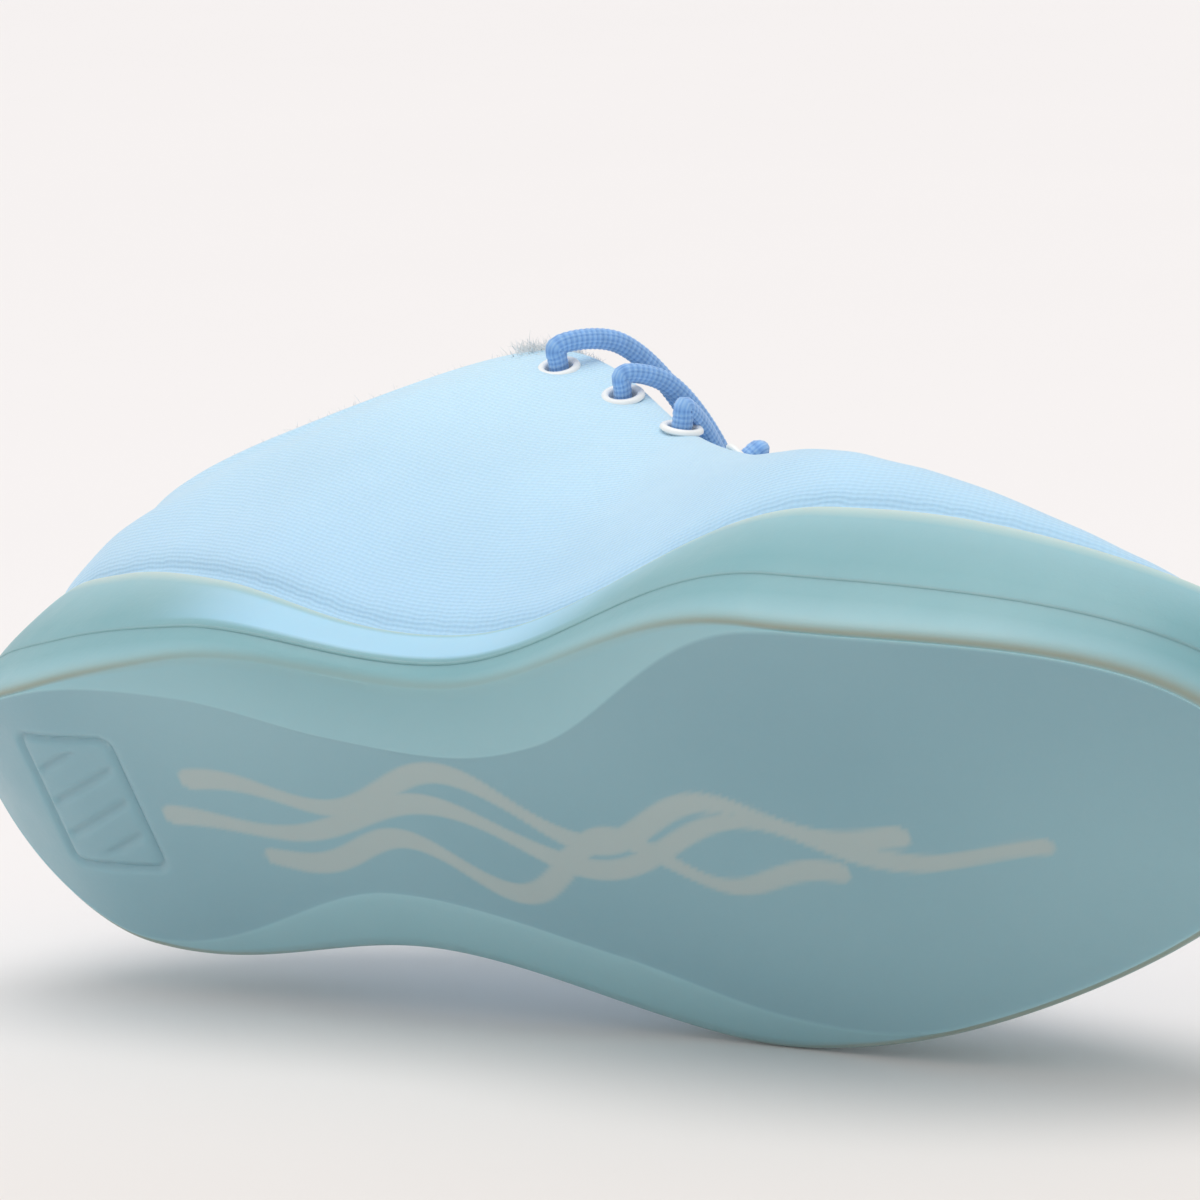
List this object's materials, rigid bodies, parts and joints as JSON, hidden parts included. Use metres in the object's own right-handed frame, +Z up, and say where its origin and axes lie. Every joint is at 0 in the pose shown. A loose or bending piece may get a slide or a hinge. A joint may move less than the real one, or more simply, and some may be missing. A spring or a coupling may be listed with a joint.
{
  "type": "bowling shoe",
  "caption": "Low laced bowling shoe for the left foot, with a translucent rubber cup sole, padded textile upper, fleece collar, eyelets, lace and padded tongue.",
  "frame": {"origin": "centre of the bounding box on the plane of the flat sole", "axes": "+X to the toe, +Y to the wearer's left (the outer side of this left shoe), +Z up"},
  "size_m": [0.3, 0.1048, 0.1231],
  "materials": {
    "rubber": "translucent teal rubber, satin with a slightly glossy edge",
    "graphic_film": "matt printed film",
    "foam": "open-cell foam",
    "spring_steel": "brushed",
    "gel": "soft gel",
    "board": "pressed fibre board",
    "liner_fabric": "brushed knit on foam",
    "sky_knit": "fine ribbed knit, padded",
    "stiffener": "heat-formed sheet",
    "tape": "woven tape",
    "lining": "spacer mesh",
    "fleece": "white fluffy fleece",
    "lace": "round braided cord",
    "aglet": "clear tube",
    "eyelet": "moulded white ring"
  },
  "bodies": {
    "shoe": {"cupsole": "rubber", "graphic_sheet": "graphic_film", "midsole_foam": "foam", "shank": "spring_steel", "heel_cushion": "gel", "insole_board": "board", "upper_shell": "sky_knit", "toe_puff": "stiffener", "vamp_foam": "foam", "lateral_eyestay_tape": "tape", "medial_eyestay_tape": "tape", "lateral_quarter_foam": "foam", "medial_quarter_foam": "foam", "lateral_instep_foam": "foam", "medial_instep_foam": "foam", "collar_pad": "foam", "heel_counter": "stiffener", "vamp_lining": "lining", "quarter_lining": "lining", "collar_fleece": "fleece", "lace": "lace", "aglet_front": "aglet", "aglet_rear": "aglet", "eyelet_medial_1": "eyelet", "eyelet_medial_2": "eyelet", "eyelet_medial_3": "eyelet", "eyelet_medial_4": "eyelet", "eyelet_medial_5": "eyelet", "eyelet_lateral_1": "eyelet", "eyelet_lateral_2": "eyelet", "eyelet_lateral_3": "eyelet", "eyelet_lateral_4": "eyelet", "eyelet_lateral_5": "eyelet"},
    "tongue": {"tongue_shell": "sky_knit", "tongue_foam": "foam", "tongue_lining": "lining"},
    "liner": {"sock_liner": "liner_fabric"}
  },
  "joints": [
    {"name": "tongue_tilt", "type": "hinge", "parent": "shoe", "child": "tongue", "pos_m": [0.06, 0, 0.048], "axis": [0, -1, 0], "range_deg": [0, 10], "stiffness_Nm_per_rad": 0.6, "springref_deg": -2.86},
    {"name": "liner_lift", "type": "hinge", "parent": "shoe", "child": "liner", "pos_m": [0.139, 0, 0.0285], "axis": [0, 1, 0], "range_deg": [0, 4]}
  ]
}
